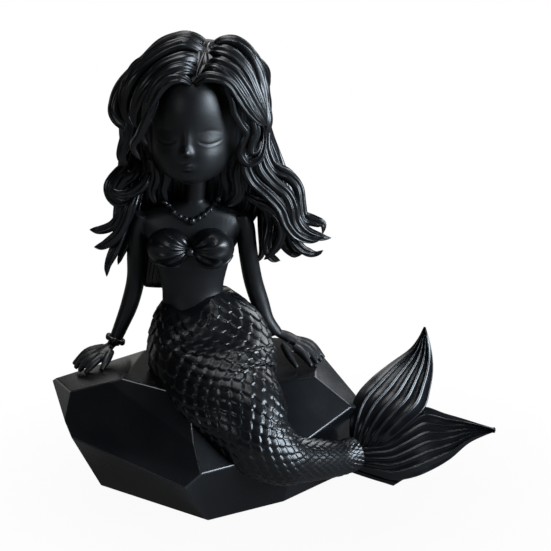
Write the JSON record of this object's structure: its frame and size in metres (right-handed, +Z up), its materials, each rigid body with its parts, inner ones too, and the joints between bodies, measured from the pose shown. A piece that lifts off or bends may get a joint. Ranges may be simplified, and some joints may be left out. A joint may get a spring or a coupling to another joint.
{
  "type": "mermaid figurine",
  "caption": "Cast figurine of a long-haired mermaid seated on a faceted rock, with hands on the rock, a scaled tail and a lobed tail fin.",
  "frame": {"origin": "centre of the bounding box, on the surface that the rock stands on", "axes": "+Z up, she faces -Y, her tail fin points to +X"},
  "size_m": [0.1488, 0.0794, 0.1522],
  "materials": {
    "black_resin": "satin"
  },
  "bodies": {
    "root": {"figurine": "black_resin"}
  },
  "joints": []
}
